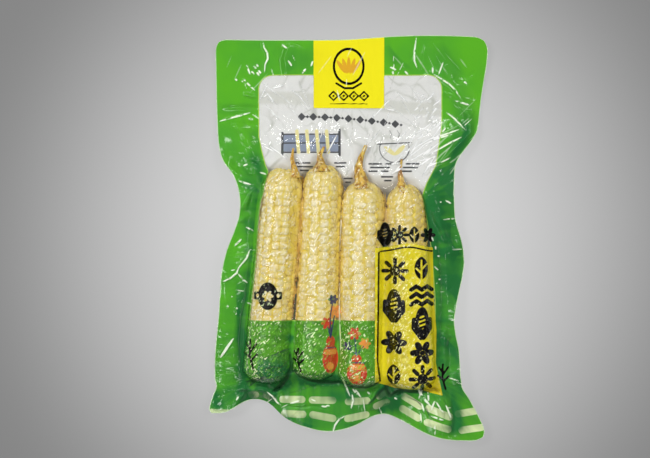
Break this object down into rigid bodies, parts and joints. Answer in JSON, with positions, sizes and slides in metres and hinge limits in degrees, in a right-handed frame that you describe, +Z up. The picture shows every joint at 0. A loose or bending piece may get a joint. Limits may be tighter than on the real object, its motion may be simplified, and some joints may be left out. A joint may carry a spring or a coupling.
{
  "type": "vacuum-sealed bag of corn ears",
  "caption": "Flat retort pouch, vacuum-sealed round a row of small ears of sweet corn, with a wide header, side seals and a wavy foot seal, lying on its back.",
  "frame": {"origin": "on the table, under the middle of the pouch", "axes": "+X across the pouch to its right, +Y along it to the header, +Z up off the table, out of the shown front"},
  "size_m": [0.1774, 0.261, 0.0275],
  "materials": {
    "printed_film": "glossy printed film, green with clear, yellow and white fields",
    "back_film": "glossy film, white inside",
    "kernels": "moist, pale yellow, waxy",
    "husk": "dry, golden brown, fibrous"
  },
  "bodies": {
    "root": {"bag": "printed_film"}
  },
  "joints": []
}
